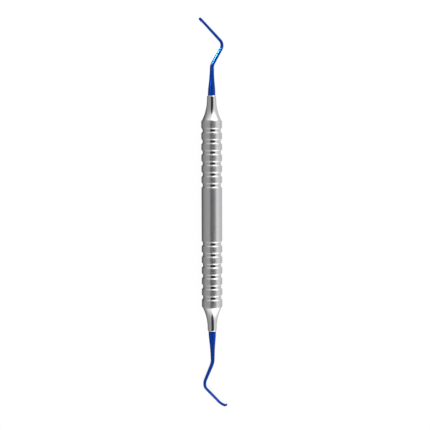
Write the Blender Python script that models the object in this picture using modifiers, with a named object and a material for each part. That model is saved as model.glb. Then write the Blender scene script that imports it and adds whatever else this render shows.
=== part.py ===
"""Double-ended dental hand scaler.

The instrument lies on the plane z = 0 with its length along X. The origin is under the middle
of the handle, where the handle touches that plane. A hollow turned handle takes a turned cone
in each end, and each cone holds the tang of a bent tip with a small curved blade.
"""

import math

import bmesh
import bpy
import numpy as np
from mathutils import Matrix, Vector

MM = 0.001

# Turned and lofted pieces are polygons of this many sides. Their radii are across the flats,
# and a flat side faces down, so that the handle rests on a flat strip.
FACETS = 24
HALF_FACET = math.pi / FACETS
CORNER = 1.0 / math.cos(HALF_FACET)
FIT_GAP = 0.05 * MM
SAME_POINT = 0.001 * MM
SHARP_ANGLE = math.radians(28)

# Handle: a tube with six ring grooves towards each end
HANDLE_RADIUS = 4.75 * MM
BORE_RADIUS = 3.7 * MM
TUBE_HALF_LENGTH = 43.1 * MM
TUBE_EDGE = 0.25 * MM
GROOVES_PER_END = 6
FIRST_GROOVE = 13.5 * MM
GROOVE_PITCH = 5.0 * MM
GROOVE_WIDTH = 2.55 * MM
GROOVE_DEPTH = 0.58 * MM
GROOVE_STEPS = 6

# Cones: a concave flare outside the tube, a spigot inside it and a bore down the middle
MOUTH = 54.5 * MM
MOUTH_RADIUS = 2.07 * MM
LIP_RADIUS = 1.76 * MM
LIP_LENGTH = 0.45 * MM
BASE_RADIUS = 4.42 * MM
FLARE_POWER = 2.35
FLARE_STEPS = 12
SPIGOT_LENGTH = 6.0 * MM
CONE_BORE_RADIUS = 1.5 * MM

# Tang: held in the cone's bore by raised press rings
TANG_LENGTH = 14.0 * MM
TANG_RADIUS = 1.3 * MM
PRESS_RINGS = 3
PRESS_RING_LENGTH = 1.4 * MM
PRESS_RING_PITCH = 3.6 * MM

# Shank: bend radii, and (distance from the cone's mouth, diameter) in millimetres
FIRST_BEND_RADIUS = 5.1 * MM
ELBOW_RADIUS = 3.4 * MM
SHANK_DIAMETERS = (
    (0.0, 3.42), (2.3, 3.30), (4.2, 2.95), (6.0, 2.58), (7.8, 2.27), (9.7, 2.03),
    (13.0, 1.80), (23.0, 1.42), (27.0, 1.30), (36.0, 1.20),
)

# Blade: three curls of (radius, turn in degrees), one after another, out of the shank's plane.
# Its sections are (half width, depth of the back, depth of the face).
CURLS = ((3.0 * MM, 30), (1.8 * MM, 86), (3.0 * MM, 30))
BLADE_ROOT = (0.58 * MM, 0.80 * MM, 0.52 * MM)
BLADE_MIDDLE = (0.62 * MM, 0.60 * MM, 0.20 * MM)
BLADE_END = (0.54 * MM, 0.44 * MM, 0.09 * MM)
TOE_LENGTH = 0.45 * MM
TOE_STEPS = 4
MIDDLE_AT = 0.45
ROOT_BLEND = 5.0 * MM

# How far apart the loft's sections are
STRAIGHT_STEP = 1.6 * MM
ARC_STEP = math.radians(13)

# The two tips are mirror images, each bent by hand to slightly different figures. Leans are
# degrees away from the handle's axis.
RIGHT_TIP = {
    "lean": 0.9,
    "to_first_bend": 13.8 * MM,
    "middle": 10.8 * MM,
    "middle_lean": 29.9,
    "terminal": 13.5 * MM,
    "terminal_lean": 42.7,
    "hand": 1,
    "turn": (math.pi, 0.0, 0.0),
}
LEFT_TIP_ROLL = math.radians(46)
LEFT_TIP = {
    "lean": -1.1,
    "to_first_bend": 14.8 * MM,
    "middle": 11.65 * MM,
    "middle_lean": 33.4,
    "terminal": 14.3 * MM,
    "terminal_lean": 47.6,
    "hand": -1,
    "turn": (math.pi - LEFT_TIP_ROLL, 0.0, math.pi),
}


def empty_scene():
    for thing in list(bpy.data.objects):
        bpy.data.objects.remove(thing, do_unlink=True)


def steel(name, colour, roughness):
    """A bare or coated metal finish."""
    finish = bpy.data.materials.new(name)
    finish.use_nodes = True
    shader = finish.node_tree.nodes["Principled BSDF"]
    shader.inputs["Base Color"].default_value = (*colour, 1.0)
    shader.inputs["Metallic"].default_value = 1.0
    shader.inputs["Roughness"].default_value = roughness
    finish.diffuse_color = (*colour, 1.0)
    return finish


def satin_steel():
    return steel("satin_steel", (0.52, 0.52, 0.53), 0.35)


def polished_steel():
    return steel("polished_steel", (0.66, 0.66, 0.67), 0.12)


def blue_coated_steel():
    return steel("blue_coated_steel", (0.01, 0.07, 0.42), 0.18)


def add_piece(shelf, name, mesh, finish, axis, turn):
    """Put one piece in the collection, on the instrument's axis and turned as given."""
    mesh.name = name
    mesh.materials.clear()
    mesh.materials.append(finish)
    mesh.shade_smooth()
    mesh.set_sharp_from_angle(angle=SHARP_ANGLE)
    piece = bpy.data.objects.new(name, mesh)
    shelf.objects.link(piece)
    piece.parent = axis
    piece.rotation_euler = turn
    return piece


def turned_mesh(profile):
    """The solid that a closed outline of (height, radius) points makes when it turns about Z.

    The outline runs down its outer side and back up its inner side.
    """
    outline = bmesh.new()
    points = []
    for height, radius in profile:
        points.append(outline.verts.new((radius, radius * math.tan(HALF_FACET), height)))
    for here, after in zip(points, points[1:] + points[:1]):
        outline.edges.new((here, after))
    mesh = bpy.data.meshes.new("outline")
    outline.to_mesh(mesh)
    outline.free()

    blank = bpy.data.objects.new("outline", mesh)
    bpy.context.scene.collection.objects.link(blank)
    screw = blank.modifiers.new("turn", "SCREW")
    screw.axis = "Z"
    screw.steps = FACETS
    screw.render_steps = FACETS
    screw.use_merge_vertices = True
    screw.merge_threshold = SAME_POINT
    graph = bpy.context.evaluated_depsgraph_get()
    solid = bpy.data.meshes.new_from_object(blank.evaluated_get(graph))
    bpy.data.objects.remove(blank, do_unlink=True)
    bpy.data.meshes.remove(mesh)
    return solid


def groove_outline(centre):
    """A round-bottomed groove's points, from its upper edge to its lower edge."""
    half = GROOVE_WIDTH / 2
    radius = (half**2 + GROOVE_DEPTH**2) / (2 * GROOVE_DEPTH)
    reach = math.asin(half / radius)
    for step in range(GROOVE_STEPS + 1):
        angle = reach * (1 - 2 * step / GROOVE_STEPS)
        bottom = HANDLE_RADIUS - GROOVE_DEPTH
        yield centre + radius * math.sin(angle), bottom + radius * (1 - math.cos(angle))


def tube_outline():
    centres = [FIRST_GROOVE + GROOVE_PITCH * k for k in range(GROOVES_PER_END)]
    centres = [*reversed(centres), *(-centre for centre in centres)]
    outline = [
        (TUBE_HALF_LENGTH, HANDLE_RADIUS - TUBE_EDGE),
        (TUBE_HALF_LENGTH - TUBE_EDGE, HANDLE_RADIUS),
    ]
    for centre in centres:
        outline += groove_outline(centre)
    outline += [
        (TUBE_EDGE - TUBE_HALF_LENGTH, HANDLE_RADIUS),
        (-TUBE_HALF_LENGTH, HANDLE_RADIUS - TUBE_EDGE),
        (-TUBE_HALF_LENGTH, BORE_RADIUS),
        (TUBE_HALF_LENGTH, BORE_RADIUS),
    ]
    return outline


def cone_outline():
    """A cone's outline, from the lip at its mouth down to its spigot and back up its bore."""
    base = TUBE_HALF_LENGTH + FIT_GAP
    lip = MOUTH - LIP_LENGTH
    outline = [(MOUTH, LIP_RADIUS)]
    for step in range(FLARE_STEPS + 1):
        share = step / FLARE_STEPS
        radius = MOUTH_RADIUS + (BASE_RADIUS - MOUTH_RADIUS) * share**FLARE_POWER
        outline.append((lip + (base - lip) * share, radius))
    spigot = BORE_RADIUS - FIT_GAP
    end = base - SPIGOT_LENGTH
    outline += [
        (base, spigot),
        (end + TUBE_EDGE, spigot),
        (end, spigot - TUBE_EDGE),
        (end, CONE_BORE_RADIUS),
        (MOUTH, CONE_BORE_RADIUS),
    ]
    return outline


def walk(place, frame, moves):
    """Stations along a bent wire, as (distance, place, frame) from the start of its moves.

    A frame's columns are the way along the wire, the way to its side and the way to the
    blade's face. Each move is a length, the turn over that length, and the column it turns about.
    """
    distance = 0.0
    yield distance, place.copy(), frame.copy()
    for length, turn, about in moves:
        steps = max(1, math.ceil(abs(turn) / ARC_STEP))
        if not turn:
            steps = math.ceil(length / STRAIGHT_STEP)
        half_turn = Matrix.Rotation(turn / steps / 2, 3, frame.col[about])
        for _ in range(steps):
            frame = half_turn @ frame
            place = place + frame.col[0] * (length / steps)
            frame = half_turn @ frame
            distance += length / steps
            yield distance, place.copy(), frame.copy()


def shank_moves(tip):
    """The straights and bends between the cone's mouth and the blade's root."""
    lean, middle, terminal = (
        math.radians(tip[key]) for key in ("lean", "middle_lean", "terminal_lean")
    )
    first_turn = middle - lean
    elbow_turn = middle + terminal
    first_cut = FIRST_BEND_RADIUS * math.tan(first_turn / 2)
    elbow_cut = ELBOW_RADIUS * math.tan(elbow_turn / 2)
    about_face = 2
    return [
        (tip["to_first_bend"] - first_cut, 0, about_face),
        (FIRST_BEND_RADIUS * first_turn, first_turn, about_face),
        (tip["middle"] - first_cut - elbow_cut, 0, about_face),
        (ELBOW_RADIUS * elbow_turn, -elbow_turn, about_face),
        (tip["terminal"] - elbow_cut, 0, about_face),
    ]


def section(place, frame, half_width, back, face):
    """An outline across the wire: round where its three sizes agree, D-shaped on the blade."""
    for k in range(FACETS):
        angle = HALF_FACET * (2 * k + 1)
        height = math.sin(angle) * (face if math.sin(angle) > 0 else back)
        yield place + frame.col[1] * (half_width * math.cos(angle)) + frame.col[2] * height


def tang_sections():
    """The tang's rings and the land at the shank's foot, on the instrument's axis."""
    upright = Matrix.Identity(3)
    crest = CONE_BORE_RADIUS - FIT_GAP
    stations = [(-TANG_LENGTH, TANG_RADIUS)]
    for ring in range(PRESS_RINGS):
        start = PRESS_RING_PITCH * ring + PRESS_RING_LENGTH - TANG_LENGTH
        ramp = crest - TANG_RADIUS
        stations += [
            (start, TANG_RADIUS),
            (start + ramp, crest),
            (start + PRESS_RING_LENGTH, crest),
            (start + PRESS_RING_LENGTH + ramp, TANG_RADIUS),
        ]
    stations.append((FIT_GAP, TANG_RADIUS))
    for along, flat_radius in stations:
        radius = flat_radius * CORNER
        yield list(section(Vector((along, 0, 0)), upright, radius, radius, radius))


def shank_sections(stations):
    """Round sections that turn into the blade's root over the last stretch."""
    distances, diameters = np.array(SHANK_DIAMETERS).T * MM
    end = stations[-1][0]
    for distance, place, frame in stations:
        radius = np.interp(distance, distances, diameters) / 2 * CORNER
        share = max(0.0, 1 + (distance - end) / ROOT_BLEND)
        share = share * share * (3 - 2 * share)
        sizes = (radius + (size - radius) * share for size in BLADE_ROOT)
        yield list(section(place, frame, *sizes))


def blade_sections(stations):
    """D-shaped sections that thin from the root and close in a rounded toe."""
    whole = stations[-1][0]
    sizes = np.array((BLADE_ROOT, BLADE_MIDDLE, BLADE_END))
    for distance, place, frame in stations[1:]:
        share = distance / whole
        sized = [np.interp(share, (0, MIDDLE_AT, 1), column) for column in sizes.T]
        yield list(section(place, frame, *sized))
    _, place, frame = stations[-1]
    for step in range(1, TOE_STEPS):
        angle = math.pi / 2 * step / TOE_STEPS
        ahead = place + frame.col[0] * (TOE_LENGTH * math.sin(angle))
        shrunk = (size * math.cos(angle) for size in BLADE_END)
        yield list(section(ahead, frame, *shrunk))


def loft(sections):
    """A closed solid through sections that all have the same number of points."""
    skin = bmesh.new()
    rings = [[skin.verts.new(point) for point in outline] for outline in sections]
    for near, far in zip(rings, rings[1:]):
        for k in range(FACETS):
            after = (k + 1) % FACETS
            skin.faces.new((near[k], near[after], far[after], far[k]))
    skin.faces.new(rings[0])
    skin.faces.new(rings[-1])
    bmesh.ops.recalc_face_normals(skin, faces=skin.faces)
    mesh = bpy.data.meshes.new("loft")
    skin.to_mesh(mesh)
    skin.free()
    return mesh


def tip_mesh(tip):
    """Tang, shank and blade in one piece, with the cone's mouth at the local origin."""
    lean = math.radians(tip["lean"])
    foot = Matrix.Rotation(lean, 3, "Z")
    shank = list(walk(Vector((FIT_GAP, 0, 0)), foot, shank_moves(tip)))
    _, root, frame = shank[-1]
    about_side = 1
    curls = [
        (radius * math.radians(turn), -math.radians(turn), about_side)
        for radius, turn in CURLS
    ]
    blade = list(walk(root, frame, curls))
    mesh = loft([*tang_sections(), *shank_sections(shank), *blade_sections(blade)])
    mesh.transform(Matrix.Translation((MOUTH, 0, 0)))
    if tip["hand"] < 0:
        mesh.transform(Matrix.Scale(-1, 4, (0, 0, 1)))
        mesh.flip_normals()
    return mesh


def make_instrument():
    shelf = bpy.data.collections.new("hand_scaler")
    bpy.context.scene.collection.children.link(shelf)
    axis = bpy.data.objects.new("instrument_axis", None)
    axis.location = (0, 0, HANDLE_RADIUS)
    axis.empty_display_size = HANDLE_RADIUS
    shelf.objects.link(axis)

    satin, polished, blue = satin_steel(), polished_steel(), blue_coated_steel()
    quarter = math.pi / 2
    upright, over = (0, quarter, 0), (0, -quarter, 0)
    add_piece(shelf, "handle_tube", turned_mesh(tube_outline()), satin, axis, upright)
    add_piece(shelf, "right_cone", turned_mesh(cone_outline()), polished, axis, upright)
    add_piece(shelf, "left_cone", turned_mesh(cone_outline()), polished, axis, over)
    add_piece(shelf, "right_tip", tip_mesh(RIGHT_TIP), blue, axis, RIGHT_TIP["turn"])
    add_piece(shelf, "left_tip", tip_mesh(LEFT_TIP), blue, axis, LEFT_TIP["turn"])


empty_scene()
make_instrument()
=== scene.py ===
"""The looks of the double-ended dental hand scaler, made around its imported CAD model.

The instrument lies along X on the plane z = 0. Every CAD node is replaced by a finely turned or
lofted piece of the same size with its own procedural finish. The studio is plain and soft: a
pale floor, a bright tent with a dark gap overhead for the steel to reflect, a soft lamp from
above, and a small lamp for the highlights on each tip.
"""

import math

import bmesh
import bpy
import numpy as np
from mathutils import Euler, Matrix, Vector


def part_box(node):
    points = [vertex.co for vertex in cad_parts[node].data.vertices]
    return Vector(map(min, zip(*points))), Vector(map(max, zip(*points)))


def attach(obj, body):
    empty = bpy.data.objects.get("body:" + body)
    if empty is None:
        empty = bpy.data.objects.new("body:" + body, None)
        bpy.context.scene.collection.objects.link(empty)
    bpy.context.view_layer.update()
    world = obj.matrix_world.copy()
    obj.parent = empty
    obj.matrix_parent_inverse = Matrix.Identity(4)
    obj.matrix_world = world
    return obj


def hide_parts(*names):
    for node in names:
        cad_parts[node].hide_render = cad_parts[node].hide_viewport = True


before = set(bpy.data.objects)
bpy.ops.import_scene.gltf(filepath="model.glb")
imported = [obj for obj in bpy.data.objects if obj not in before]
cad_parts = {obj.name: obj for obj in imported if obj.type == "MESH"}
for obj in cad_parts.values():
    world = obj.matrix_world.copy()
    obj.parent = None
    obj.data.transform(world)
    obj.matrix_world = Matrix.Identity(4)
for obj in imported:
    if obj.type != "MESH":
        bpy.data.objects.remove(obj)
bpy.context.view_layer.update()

MM = 0.001
QUARTER = math.pi / 2
SAME_POINT = 0.0001 * MM
SHARP_ANGLE = math.radians(32)

# Sizes that the CAD model gives
tube_low, tube_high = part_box("handle_tube")
cone_low, cone_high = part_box("right_cone")
HANDLE_RADIUS = (tube_high.z - tube_low.z) / 2
TUBE_END = tube_high.x
MOUTH = cone_high.x
SPIGOT_END = cone_low.x

# Handle and grooves
AROUND = 160
BORE_RADIUS = 3.7 * MM
TUBE_EDGE = 0.35 * MM
EDGE_STEPS = 6
GROOVES_PER_END = 6
FIRST_GROOVE = 13.5 * MM
GROOVE_PITCH = 5.0 * MM
GROOVE_DEPTH = 0.58 * MM
# A groove's half outline, from its middle out: (arc radius, steepness at the arc's end)
GROOVE_ARCS = ((2.15 * MM, math.radians(17)), (0.75 * MM, math.radians(60)), (-0.26 * MM, 0.0))
ARC_POINTS = 9
# The grooves are polished from this far below the handle's surface
POLISH_FROM = 0.03 * MM

# Cones
MOUTH_RADIUS = 2.07 * MM
LIP_RADIUS = 1.76 * MM
LIP_LENGTH = 0.45 * MM
LIP_ARC = 0.08 * MM
BASE_RADIUS = 4.42 * MM
BASE_EDGE = 0.06 * MM
FLARE_POWER = 2.35
FLARE_STEPS = 60
CONE_BORE_RADIUS = 1.5 * MM
SEAM = 0.02 * MM

# Tang, and shank with (distance from the cone's mouth, diameter) in millimetres
TIP_AROUND = 48
TANG_LENGTH = 14.0 * MM
TANG_RADIUS = 1.3 * MM
PRESS_RINGS = 3
PRESS_RING_LENGTH = 1.4 * MM
PRESS_RING_PITCH = 3.6 * MM
FOOT_EDGE = 0.06 * MM
FIRST_BEND_RADIUS = 5.1 * MM
ELBOW_RADIUS = 3.4 * MM
SHANK_DIAMETERS = (
    (0.0, 3.42), (2.3, 3.30), (4.2, 2.95), (6.0, 2.58), (7.8, 2.27), (9.7, 2.03),
    (13.0, 1.80), (23.0, 1.42), (27.0, 1.30), (36.0, 1.20),
)
ROUNDED_OVER = 0.9 * MM

# Blade: curls of (radius, turn in degrees), and sections of (half width, back, face)
CURLS = ((3.0 * MM, 30), (1.8 * MM, 86), (3.0 * MM, 30))
BLADE_ROOT = (0.58 * MM, 0.80 * MM, 0.52 * MM)
BLADE_MIDDLE = (0.62 * MM, 0.60 * MM, 0.20 * MM)
BLADE_END = (0.54 * MM, 0.44 * MM, 0.09 * MM)
ROOT_BLEND = 5.0 * MM
TOE_LENGTH = 0.45 * MM
TOE_STEPS = 14
MIDDLE_AT = 0.45
STEP = 0.25 * MM
ARC_STEP = math.radians(3)

# The tips' bends. Leans are degrees away from the handle's axis.
RIGHT_TIP = {
    "lean": 0.9,
    "to_first_bend": 13.8 * MM,
    "middle": 10.8 * MM,
    "middle_lean": 29.9,
    "terminal": 13.5 * MM,
    "terminal_lean": 42.7,
    "hand": 1,
    "turn": (math.pi, 0.0, 0.0),
}
LEFT_TIP_ROLL = math.radians(46)
LEFT_TIP = {
    "lean": -1.1,
    "to_first_bend": 14.8 * MM,
    "middle": 11.65 * MM,
    "middle_lean": 33.4,
    "terminal": 14.3 * MM,
    "terminal_lean": 47.6,
    "hand": -1,
    "turn": (math.pi - LEFT_TIP_ROLL, 0.0, math.pi),
}

# Noise: how fast its finer layers fade, and the ranges that hold most of its values
NOISE_ROUGHNESS = 0.6
NOISE_RANGE = (0.3, 0.7)
HAZE_RANGE = (0.35, 0.7)
# A Mix node's colour sockets come after those of its other kinds
MIX_FIRST, MIX_SECOND, MIX_RESULT = 6, 7, 2
# Highlights stretch a quarter of a turn away from the direction of the lines
STRETCH_TURN = 0.25

# Finishes: tints and roughnesses run between two values, and depths are those of the fine lines
SATIN_TINTS = ((0.55, 0.55, 0.56, 1), (0.73, 0.73, 0.74, 1))
SATIN_ROUGHNESS = (0.31, 0.40)
SATIN_CLOUD_SHARE = 0.35
SATIN_STRETCH = 0.7
SATIN_DEPTH = 0.0006 * MM
POLISHED_TINTS = ((0.64, 0.64, 0.65, 1), (0.75, 0.75, 0.76, 1))
POLISHED_ROUGHNESS = (0.06, 0.12)
POLISHED_LINE_ROUGHNESS = 0.04
POLISHED_STRETCH = 0.3
POLISHED_DEPTH = 0.0002 * MM
BLUE_TINTS = ((0.003, 0.020, 0.25, 1), (0.007, 0.070, 0.39, 1))
BLUE_ROUGHNESS = (0.10, 0.16)
BLUE_LINE_SHARE = 0.3
BLUE_METALLIC = 0.5
BLUE_GLOSS = 0.12
BLUE_GLOSS_TINT = (0.12, 0.18, 0.5, 1)
BLUE_COAT = 0.03
BLUE_COAT_ROUGHNESS = 0.05
BLUE_DEPTH = 0.0003 * MM

# Camera: above the instrument, a little towards its right end
LENS = 85.0
SENSOR = 36.0
VIEW_SIZE = 198.3 * MM
VIEW_CENTRE = (-0.29 * MM, -1.43 * MM)
CAMERA_TILT = math.radians(4.4)
CAMERA_ROLL = math.radians(-0.15)
CLIP_START = 0.01
CLIP_END = 20

# Studio
STUDIO_RADIUS = 4.0
FLOOR_GREY = (0.14, 0.14, 0.14, 1)
FLOOR_ROUGHNESS = 0.9
FLOOR_GLOW = 0.82
BACKDROP_GLOW = 1.0
OVERHEAD_POWER = 2.6
OVERHEAD_WIDTH = math.radians(18)

# The tent's brightness round the instrument, as (degrees from straight up towards the picture's
# right, brightness): first for what lies square to its length, then for what lies towards its ends
SIDES = (
    (-140, 0.10), (-112, 0.27), (-92, 0.38), (-38, 0.44), (34, 0.52), (46, 0.64),
    (62, 0.96), (80, 0.88), (110, 0.74), (180, 0.68),
)
ENDS = (
    (-180, 0.45), (-140, 0.28), (-110, 0.36), (-90, 0.48), (-66, 0.57), (-20, 0.60),
    (-4, 0.74), (12, 1.06), (38, 1.52), (58, 1.62), (72, 1.50), (100, 1.36),
    (124, 1.05), (146, 0.86), (180, 0.75),
)
# Colour ramps hold the tables' brightnesses as shares of this
BRIGHTEST = 2.0
# Degrees out of square over which the ends take over from the sides, then brighten, then darken
ENDS_FROM = (23.0, 43.0)
STEEP_FROM = (34.0, 66.0)
STEEP_GAIN = 2.2
POLE_FROM = (64.0, 80.0)
POLE_GAIN = 0.22
# The tent's dark gap, an oval in degrees. Its middle moves over by the skew towards its ends.
GAP_CENTRE = 12.0
GAP_SKEW = 9.0
GAP_SKEW_FROM = (14.0, 36.0)
GAP_HALF_WIDTH = 33.5
GAP_HALF_LENGTH = 44.0
GAP_EDGE = (0.8, 1.15)
GAP_LEVEL = 0.045

# Small bright lamps that only draw highlights on one tip each: which way each lies, how wide it
# looks in degrees, and how bright it is
GLINTS = (
    ("right", (0.40, 0.555, 0.73), 10, 260.0),
    ("left", (-0.98, 0.13, 0.12), 12, 120.0),
)


# ---------------------------------------------------------------- shapes


def arc(centre, radius, start, end, steps):
    """Points (height, radius) of an arc, with angles counted from the outward radius to +height."""
    for step in range(steps + 1):
        angle = start + (end - start) * step / steps
        yield centre[0] + radius * math.sin(angle), centre[1] + radius * math.cos(angle)


def groove_outline(centre):
    """A groove's points, from its upper edge to its lower edge: a shallow bottom arc, two
    tighter arcs that turn up its flanks, and two that round its shoulders."""
    half = [(0.0, 0.0)]
    slope = 0.0
    for radius, steepness in GROOVE_ARCS:
        out, rise = half[-1]
        start = slope
        for step in range(1, ARC_POINTS + 1):
            slope = start + (steepness - start) * step / ARC_POINTS
            further = abs(radius) * abs(math.sin(slope) - math.sin(start))
            higher = abs(radius) * abs(math.cos(slope) - math.cos(start))
            half.append((out + further, rise + higher))
    scale = GROOVE_DEPTH / half[-1][1]
    half = [(out, HANDLE_RADIUS - GROOVE_DEPTH + rise * scale) for out, rise in half]
    yield from ((centre + out, radius) for out, radius in reversed(half))
    yield from ((centre - out, radius) for out, radius in half[1:])


def tube_outline():
    """The handle from its rounded rim down its grooved outside and back up its bore."""
    centres = [FIRST_GROOVE + GROOVE_PITCH * k for k in range(GROOVES_PER_END)]
    centres = [*reversed(centres), *(-centre for centre in centres)]
    end = TUBE_END - TUBE_EDGE
    rim = HANDLE_RADIUS - TUBE_EDGE
    outline = list(arc((end, rim), TUBE_EDGE, QUARTER, 0, EDGE_STEPS))
    for centre in centres:
        outline += groove_outline(centre)
    outline += arc((-end, rim), TUBE_EDGE, 0, -QUARTER, EDGE_STEPS)
    outline += [(-TUBE_END, BORE_RADIUS), (TUBE_END, BORE_RADIUS)]
    return outline


def cone_outline():
    """A cone from the lip at its mouth down its flare to its spigot, and back up its bore."""
    base = TUBE_END + SEAM
    lip = MOUTH - LIP_LENGTH
    outline = [(MOUTH, LIP_RADIUS - LIP_ARC), (MOUTH - LIP_ARC / 2, LIP_RADIUS)]
    outline.append((lip + LIP_ARC, MOUTH_RADIUS - LIP_ARC / 2))
    for step in range(FLARE_STEPS + 1):
        share = step / FLARE_STEPS
        radius = MOUTH_RADIUS + (BASE_RADIUS - MOUTH_RADIUS) * share**FLARE_POWER
        outline.append((lip + (base + BASE_EDGE - lip) * share, radius))
    spigot = BORE_RADIUS - SEAM
    outline += [
        (base, BASE_RADIUS - BASE_EDGE / 2),
        (base, spigot),
        (SPIGOT_END + TUBE_EDGE, spigot),
        (SPIGOT_END, spigot - TUBE_EDGE),
        (SPIGOT_END, CONE_BORE_RADIUS),
        (MOUTH, CONE_BORE_RADIUS),
    ]
    return outline


def turned_mesh(profile):
    """The closed outline of (height, radius) points, turned about Z."""
    outline = bmesh.new()
    points = [outline.verts.new((radius, 0, height)) for height, radius in profile]
    for here, after in zip(points, points[1:] + points[:1]):
        outline.edges.new((here, after))
    mesh = bpy.data.meshes.new("outline")
    outline.to_mesh(mesh)
    outline.free()
    blank = bpy.data.objects.new("outline", mesh)
    bpy.context.scene.collection.objects.link(blank)
    screw = blank.modifiers.new("turn", "SCREW")
    screw.steps = AROUND
    screw.render_steps = AROUND
    screw.use_merge_vertices = True
    screw.merge_threshold = SAME_POINT
    graph = bpy.context.evaluated_depsgraph_get()
    solid = bpy.data.meshes.new_from_object(blank.evaluated_get(graph))
    bpy.data.objects.remove(blank, do_unlink=True)
    return solid


def walk(place, face_frame, moves):
    """Stations along a bent wire, as (distance, place, frame) from the start of its moves."""
    distance = 0.0
    yield distance, place.copy(), face_frame.copy()
    for length, turn, about in moves:
        steps = max(1, math.ceil(abs(turn) / ARC_STEP), math.ceil(length / STEP))
        half_turn = Matrix.Rotation(turn / steps / 2, 3, face_frame.col[about])
        for _ in range(steps):
            face_frame = half_turn @ face_frame
            place = place + face_frame.col[0] * (length / steps)
            face_frame = half_turn @ face_frame
            distance += length / steps
            yield distance, place.copy(), face_frame.copy()


def shank_moves(tip):
    """The straights and bends between the cone's mouth and the blade's root."""
    lean, middle, terminal = (
        math.radians(tip[key]) for key in ("lean", "middle_lean", "terminal_lean")
    )
    first_turn = middle - lean
    elbow_turn = middle + terminal
    first_cut = FIRST_BEND_RADIUS * math.tan(first_turn / 2)
    elbow_cut = ELBOW_RADIUS * math.tan(elbow_turn / 2)
    about_face = 2
    return [
        (tip["to_first_bend"] - first_cut, 0, about_face),
        (FIRST_BEND_RADIUS * first_turn, first_turn, about_face),
        (tip["middle"] - first_cut - elbow_cut, 0, about_face),
        (ELBOW_RADIUS * elbow_turn, -elbow_turn, about_face),
        (tip["terminal"] - elbow_cut, 0, about_face),
    ]


def section(place, face_frame, half_width, back, face):
    """An outline across the wire: round where its sizes agree, D-shaped on the blade."""
    for k in range(TIP_AROUND):
        angle = 2 * math.pi * k / TIP_AROUND
        height = math.sin(angle) * (face if math.sin(angle) > 0 else back)
        side = face_frame.col[1] * (half_width * math.cos(angle))
        yield place + side + face_frame.col[2] * height


def tang_sections():
    """The tang with its press rings, up to the shank's foot."""
    crest = CONE_BORE_RADIUS - SEAM
    stations = [(-TANG_LENGTH, TANG_RADIUS)]
    for ring in range(PRESS_RINGS):
        start = PRESS_RING_PITCH * ring + PRESS_RING_LENGTH - TANG_LENGTH
        ramp = crest - TANG_RADIUS
        stations += [
            (start, TANG_RADIUS),
            (start + ramp, crest),
            (start + PRESS_RING_LENGTH, crest),
            (start + PRESS_RING_LENGTH + ramp, TANG_RADIUS),
        ]
    foot = SHANK_DIAMETERS[0][1] / 2 * MM
    stations += [(SEAM, TANG_RADIUS), (SEAM, foot - FOOT_EDGE)]
    upright = Matrix.Identity(3)
    for along, radius in stations:
        yield list(section(Vector((along, 0, 0)), upright, radius, radius, radius))


def smooth_curve(values, at, where):
    """A table's value, rounded off between its rows."""
    spots = (where - ROUNDED_OVER, where, where + ROUNDED_OVER)
    return float(np.interp(spots, at, values) @ (0.25, 0.5, 0.25))


def shank_sections(stations):
    """Round sections that turn into the blade's root over the last stretch."""
    distances, diameters = np.array(SHANK_DIAMETERS).T * MM
    end = stations[-1][0]
    for distance, place, face_frame in stations[1:]:
        radius = smooth_curve(diameters, distances, distance) / 2
        share = max(0.0, 1 + (distance - end) / ROOT_BLEND)
        share = share * share * (3 - 2 * share)
        sizes = (radius + (size - radius) * share for size in BLADE_ROOT)
        yield list(section(place, face_frame, *sizes))


def blade_sections(stations):
    """D-shaped sections that thin from the root and close in a rounded toe."""
    whole = stations[-1][0]
    sizes = np.array((BLADE_ROOT, BLADE_MIDDLE, BLADE_END))
    for distance, place, face_frame in stations[1:]:
        share = distance / whole
        sized = [np.interp(share, (0, MIDDLE_AT, 1), column) for column in sizes.T]
        yield list(section(place, face_frame, *sized))
    _, place, face_frame = stations[-1]
    for step in range(1, TOE_STEPS):
        angle = QUARTER * step / TOE_STEPS
        ahead = place + face_frame.col[0] * (TOE_LENGTH * math.sin(angle))
        shrunk = (size * math.cos(angle) for size in BLADE_END)
        yield list(section(ahead, face_frame, *shrunk))


def loft(sections):
    """A closed skin through sections that all have the same number of points."""
    skin = bmesh.new()
    rings = [[skin.verts.new(point) for point in outline] for outline in sections]
    for near, far in zip(rings, rings[1:]):
        for k in range(TIP_AROUND):
            after = (k + 1) % TIP_AROUND
            skin.faces.new((near[k], near[after], far[after], far[k]))
    skin.faces.new(rings[0])
    skin.faces.new(rings[-1])
    bmesh.ops.recalc_face_normals(skin, faces=skin.faces)
    mesh = bpy.data.meshes.new("loft")
    skin.to_mesh(mesh)
    skin.free()
    return mesh


def tip_mesh(tip):
    """Tang, shank and blade in one piece, on the instrument's axis."""
    lean = math.radians(tip["lean"])
    foot = Matrix.Rotation(lean, 3, "Z")
    shank = list(walk(Vector((SEAM, 0, 0)), foot, shank_moves(tip)))
    _, root, root_frame = shank[-1]
    about_side = 1
    curls = [
        (radius * math.radians(turn), -math.radians(turn), about_side)
        for radius, turn in CURLS
    ]
    blade = list(walk(root, root_frame, curls))
    mesh = loft([*tang_sections(), *shank_sections(shank), *blade_sections(blade)])
    mesh.transform(Matrix.Translation((MOUTH, 0, 0)))
    if tip["hand"] < 0:
        mesh.transform(Matrix.Scale(-1, 4, (0, 0, 1)))
        mesh.flip_normals()
    return mesh


def add_piece(name, mesh, node, slot, turn, *finishes):
    """Show a piece on the instrument's axis in place of a CAD node."""
    mesh.name = name
    mesh.transform(Matrix.Translation((0, 0, HANDLE_RADIUS)) @ Euler(turn).to_matrix().to_4x4())
    mesh.materials.clear()
    for finish in finishes:
        mesh.materials.append(finish)
    mesh.shade_smooth()
    mesh.set_sharp_from_angle(angle=SHARP_ANGLE)
    piece = bpy.data.objects.new(name, mesh)
    bpy.context.scene.collection.objects.link(piece)
    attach(piece, "root")
    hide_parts(node)
    return piece


# ---------------------------------------------------------------- finishes


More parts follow.
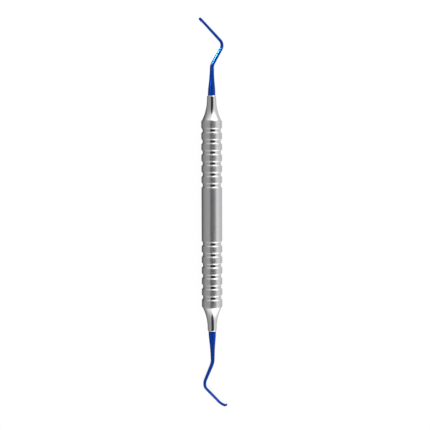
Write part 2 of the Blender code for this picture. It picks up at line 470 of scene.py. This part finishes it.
class Nodes:
    """Short ways to add nodes to a material or world."""

    def __init__(self, tree):
        self.tree = tree

    def add(self, kind, **values):
        node = self.tree.nodes.new(kind)
        for name, value in values.items():
            setattr(node, name, value)
        return node

    def put(self, socket, value):
        """Join a socket to another one, or set its constant."""
        if isinstance(value, bpy.types.NodeSocket):
            self.tree.links.new(value, socket)
        else:
            socket.default_value = value

    def math(self, operation, *values):
        node = self.add("ShaderNodeMath", operation=operation)
        for socket, value in zip(node.inputs, values):
            self.put(socket, value)
        return node.outputs[0]

    def ramp(self, value, low, high, to_low=0.0, to_high=1.0):
        """A smooth change from to_low to to_high as the value goes from low to high."""
        node = self.add("ShaderNodeMapRange", interpolation_type="SMOOTHSTEP")
        for socket, number in zip(node.inputs, (value, low, high, to_low, to_high)):
            self.put(socket, number)
        return node.outputs["Result"]

    def mix(self, share, first, second):
        node = self.add("ShaderNodeMix", data_type="FLOAT")
        self.put(node.inputs["Factor"], share)
        self.put(node.inputs["A"], first)
        self.put(node.inputs["B"], second)
        return node.outputs["Result"]

    def mix_colour(self, share, first, second):
        node = self.add("ShaderNodeMix", data_type="RGBA")
        self.put(node.inputs["Factor"], share)
        self.put(node.inputs[MIX_FIRST], first)
        self.put(node.inputs[MIX_SECOND], second)
        return node.outputs[MIX_RESULT]

    def noise(self, fineness, scale, detail):
        """Noise in object space, that many times finer along X, Y and Z."""
        place = self.add("ShaderNodeTexCoord").outputs["Object"]
        mapping = self.add("ShaderNodeMapping")
        self.put(mapping.inputs["Vector"], place)
        self.put(mapping.inputs["Scale"], fineness)
        node = self.add("ShaderNodeTexNoise")
        self.put(node.inputs["Vector"], mapping.outputs[0])
        self.put(node.inputs["Scale"], scale)
        self.put(node.inputs["Detail"], detail)
        self.put(node.inputs["Roughness"], NOISE_ROUGHNESS)
        return node.outputs["Fac"]


def new_finish(name, metallic=1.0):
    """A material with its node helper and its main shader."""
    finish = bpy.data.materials.new(name)
    finish.use_nodes = True
    nodes = Nodes(finish.node_tree)
    shader = finish.node_tree.nodes["Principled BSDF"]
    shader.inputs["Metallic"].default_value = metallic
    return finish, nodes, shader


def bump(nodes, shader, height, depth):
    """Raise the surface by up to the depth where the height is one."""
    node = nodes.add("ShaderNodeBump")
    nodes.put(node.inputs["Height"], height)
    node.inputs["Strength"].default_value = 1.0
    node.inputs["Distance"].default_value = depth
    nodes.put(shader.inputs["Normal"], node.outputs["Normal"])


def stretch_highlights(nodes, shader, amount):
    """Draw highlights out along the instrument, as fine lines round it do."""
    tangent = nodes.add("ShaderNodeTangent", direction_type="RADIAL", axis="X")
    nodes.put(shader.inputs["Tangent"], tangent.outputs[0])
    shader.inputs["Anisotropic"].default_value = amount
    shader.inputs["Anisotropic Rotation"].default_value = STRETCH_TURN


def satin_steel():
    """Lathe-brushed steel: very fine lines round the handle over a soft cloudiness."""
    finish, nodes, shader = new_finish("satin_steel")
    lines = nodes.noise(fineness=(60, 1, 1), scale=260, detail=5)
    cloud = nodes.noise(fineness=(2, 1, 1), scale=350, detail=3)
    shade = nodes.mix(SATIN_CLOUD_SHARE, lines, cloud)
    nodes.put(shader.inputs["Base Color"], nodes.mix_colour(shade, *SATIN_TINTS))
    nodes.put(shader.inputs["Roughness"], nodes.ramp(lines, *NOISE_RANGE, *SATIN_ROUGHNESS))
    stretch_highlights(nodes, shader, SATIN_STRETCH)
    bump(nodes, shader, lines, SATIN_DEPTH)
    return finish


def polished_steel():
    """Bright buffed steel with the faintest turning lines and handling haze."""
    finish, nodes, shader = new_finish("polished_steel")
    lines = nodes.noise(fineness=(40, 1, 1), scale=300, detail=3)
    haze = nodes.noise(fineness=(1, 1, 1), scale=500, detail=4)
    nodes.put(shader.inputs["Base Color"], nodes.mix_colour(haze, *POLISHED_TINTS))
    hazy = nodes.ramp(haze, *HAZE_RANGE, *POLISHED_ROUGHNESS)
    lined = nodes.math("MULTIPLY", lines, POLISHED_LINE_ROUGHNESS)
    nodes.put(shader.inputs["Roughness"], nodes.math("ADD", hazy, lined))
    stretch_highlights(nodes, shader, POLISHED_STRETCH)
    bump(nodes, shader, lines, POLISHED_DEPTH)
    return finish


def blue_coated_steel():
    """A hard blue coating on polished steel, deeper in places, with buffing lines along it."""
    finish, nodes, shader = new_finish("blue_coated_steel", metallic=BLUE_METALLIC)
    cloud = nodes.noise(fineness=(1, 1, 1), scale=700, detail=3)
    lines = nodes.noise(fineness=(6, 60, 60), scale=120, detail=3)
    shade = nodes.mix(BLUE_LINE_SHARE, cloud, lines)
    nodes.put(shader.inputs["Base Color"], nodes.mix_colour(shade, *BLUE_TINTS))
    nodes.put(shader.inputs["Roughness"], nodes.ramp(shade, *NOISE_RANGE, *BLUE_ROUGHNESS))
    shader.inputs["Specular IOR Level"].default_value = BLUE_GLOSS
    shader.inputs["Specular Tint"].default_value = BLUE_GLOSS_TINT
    shader.inputs["Coat Weight"].default_value = BLUE_COAT
    shader.inputs["Coat Roughness"].default_value = BLUE_COAT_ROUGHNESS
    bump(nodes, shader, lines, BLUE_DEPTH)
    return finish


# ---------------------------------------------------------------- pieces


def make_handle(satin, polished):
    """The satin handle, with its grooves polished."""
    mesh = turned_mesh(tube_outline())
    turn = (0, QUARTER, 0)
    add_piece("handle", mesh, "handle_tube", "satin_steel", turn, satin, polished)
    for face in mesh.polygons:
        centre = face.center
        radius = math.hypot(centre.y, centre.z - HANDLE_RADIUS)
        in_groove = BORE_RADIUS < radius < HANDLE_RADIUS - POLISH_FROM
        if in_groove and abs(centre.x) < TUBE_END - GROOVE_DEPTH:
            face.material_index = 1


def make_instrument():
    """All the pieces. It gives back the two tips, which have lamps of their own."""
    satin, polished, blue = satin_steel(), polished_steel(), blue_coated_steel()
    make_handle(satin, polished)
    for side, about_y in (("right", QUARTER), ("left", -QUARTER)):
        mesh = turned_mesh(cone_outline())
        turn = (0, about_y, 0)
        add_piece(f"{side}_end_cone", mesh, f"{side}_cone", "polished_steel", turn, polished)
    tips = {}
    for side, tip in (("right", RIGHT_TIP), ("left", LEFT_TIP)):
        name, node, turn = f"{side}_bladed_tip", f"{side}_tip", tip["turn"]
        tips[side] = add_piece(name, tip_mesh(tip), node, "blue_coated_steel", turn, blue)
    return tips


# ---------------------------------------------------------------- studio


def make_floor():
    """A wide pale floor, which glows by itself and shows in no reflection."""
    bpy.ops.mesh.primitive_circle_add(vertices=96, radius=STUDIO_RADIUS, fill_type="NGON")
    floor = bpy.context.object
    floor.name = "floor"
    finish, _, shader = new_finish("pale_floor", metallic=0.0)
    shader.inputs["Base Color"].default_value = FLOOR_GREY
    shader.inputs["Roughness"].default_value = FLOOR_ROUGHNESS
    shader.inputs["Specular IOR Level"].default_value = 0.0
    shader.inputs["Emission Color"].default_value = (1, 1, 1, 1)
    shader.inputs["Emission Strength"].default_value = FLOOR_GLOW
    floor.data.materials.append(finish)
    floor.visible_glossy = False
    floor.visible_diffuse = False


def make_backdrop():
    """A plain white dome round everything, which only the camera sees."""
    bpy.ops.mesh.primitive_uv_sphere_add(segments=64, ring_count=32, radius=STUDIO_RADIUS)
    dome = bpy.context.object
    dome.name = "backdrop"
    white = bpy.data.materials.new("white_backdrop")
    white.use_nodes = True
    nodes = Nodes(white.node_tree)
    white.node_tree.nodes.clear()
    glow = nodes.add("ShaderNodeEmission")
    glow.inputs["Strength"].default_value = BACKDROP_GLOW
    end = nodes.add("ShaderNodeOutputMaterial")
    nodes.put(end.inputs["Surface"], glow.outputs[0])
    dome.data.materials.append(white)
    for ray in ("diffuse", "glossy", "transmission", "volume_scatter", "shadow"):
        setattr(dome, f"visible_{ray}", False)


def tent_ramp(nodes, share, stops):
    """A tent's brightness from its table of (degrees, brightness)."""
    node = nodes.add("ShaderNodeValToRGB")
    elements = node.color_ramp.elements
    ready_made = len(elements)
    for number, (degrees, level) in enumerate(stops):
        at = 0.5 + degrees / 360
        element = elements[number] if number < ready_made else elements.new(at)
        element.position = at
        element.color = (*[level / BRIGHTEST] * 3, 1)
    nodes.put(node.inputs[0], share)
    return nodes.math("MULTIPLY", node.outputs[0], BRIGHTEST)


def make_tent():
    """The light tent as a world: what shines from each direction, at infinity."""
    world = bpy.data.worlds.new("tent")
    bpy.context.scene.world = world
    world.use_nodes = True
    nodes = Nodes(world.node_tree)
    background = world.node_tree.nodes["Background"]
    direction = nodes.add("ShaderNodeTexCoord").outputs["Generated"]
    leaned = nodes.add("ShaderNodeVectorRotate", rotation_type="Y_AXIS")
    nodes.put(leaned.inputs["Vector"], direction)
    nodes.put(leaned.inputs["Angle"], CAMERA_TILT)
    split = nodes.add("ShaderNodeSeparateXYZ")
    nodes.put(split.inputs[0], leaned.outputs[0])
    along, across, up = split.outputs
    to_degrees = 180 / math.pi
    lift = nodes.math("ABSOLUTE", nodes.math("ARCSINE", along))
    lift = nodes.math("MULTIPLY", lift, to_degrees)
    turned = nodes.math("ARCTAN2", nodes.math("MULTIPLY", across, -1.0), up)
    turned = nodes.math("MULTIPLY", turned, to_degrees)
    share = nodes.math("ADD", nodes.math("DIVIDE", turned, 360), 0.5)

    sides = tent_ramp(nodes, share, SIDES)
    ends = tent_ramp(nodes, share, ENDS)
    for span, gain in ((STEEP_FROM, STEEP_GAIN), (POLE_FROM, POLE_GAIN)):
        ends = nodes.math("MULTIPLY", ends, nodes.ramp(lift, *span, 1.0, gain))
    level = nodes.mix(nodes.ramp(lift, *ENDS_FROM), sides, ends)

    middle = nodes.ramp(lift, *GAP_SKEW_FROM, GAP_CENTRE, GAP_CENTRE - GAP_SKEW)
    over = nodes.math("DIVIDE", nodes.math("SUBTRACT", turned, middle), GAP_HALF_WIDTH)
    ahead = nodes.math("DIVIDE", lift, GAP_HALF_LENGTH)
    over, ahead = (nodes.math("MULTIPLY", value, value) for value in (over, ahead))
    gap = nodes.ramp(nodes.math("ADD", over, ahead), *GAP_EDGE, 1.0, 0.0)
    level = nodes.mix(gap, level, GAP_LEVEL)
    nodes.put(background.inputs["Strength"], level)
    background.inputs["Color"].default_value = (1, 1, 1, 1)


def make_lamp():
    """A soft lamp straight above, which lights the floor and shows in no reflection."""
    light = bpy.data.lights.new("overhead", "SUN")
    light.energy = OVERHEAD_POWER
    light.angle = OVERHEAD_WIDTH
    lamp = bpy.data.objects.new("overhead", light)
    bpy.context.scene.collection.objects.link(lamp)
    lamp.visible_glossy = False


def make_glints(tips):
    """Lamps seen only as highlights, each on one tip's glossy coating."""
    for number, (side, direction, width, brightness) in enumerate(GLINTS):
        light = bpy.data.lights.new(f"glint_{number}", "SUN")
        light.angle = math.radians(width)
        light.energy = brightness * math.pi * math.sin(light.angle / 2) ** 2
        lamp = bpy.data.objects.new(light.name, light)
        lamp.rotation_euler = Vector(direction).to_track_quat("Z", "Y").to_euler()
        lamp.visible_diffuse = False
        bpy.context.scene.collection.objects.link(lamp)
        lit = bpy.data.collections.new(light.name)
        lit.objects.link(tips[side])
        lamp.light_linking.receiver_collection = lit


def make_camera():
    """Above the instrument, with its right end at the top of the picture and a little nearer."""
    lens = bpy.data.cameras.new("camera")
    lens.lens = LENS
    lens.sensor_width = SENSOR
    camera = bpy.data.objects.new("camera", lens)
    bpy.context.scene.collection.objects.link(camera)
    back = Matrix.Translation((0, 0, VIEW_SIZE * LENS / SENSOR))
    leaned = Matrix.Rotation(CAMERA_TILT, 4, "Y")
    rolled = Matrix.Rotation(CAMERA_ROLL - QUARTER, 4, "Z")
    centre = Matrix.Translation((*VIEW_CENTRE, HANDLE_RADIUS))
    camera.matrix_world = centre @ leaned @ rolled @ back
    lens.clip_start = CLIP_START
    lens.clip_end = CLIP_END
    bpy.context.scene.camera = camera


bpy.context.scene.view_settings.view_transform = "Standard"
make_camera()
tips = make_instrument()
make_floor()
make_backdrop()
make_tent()
make_lamp()
make_glints(tips)
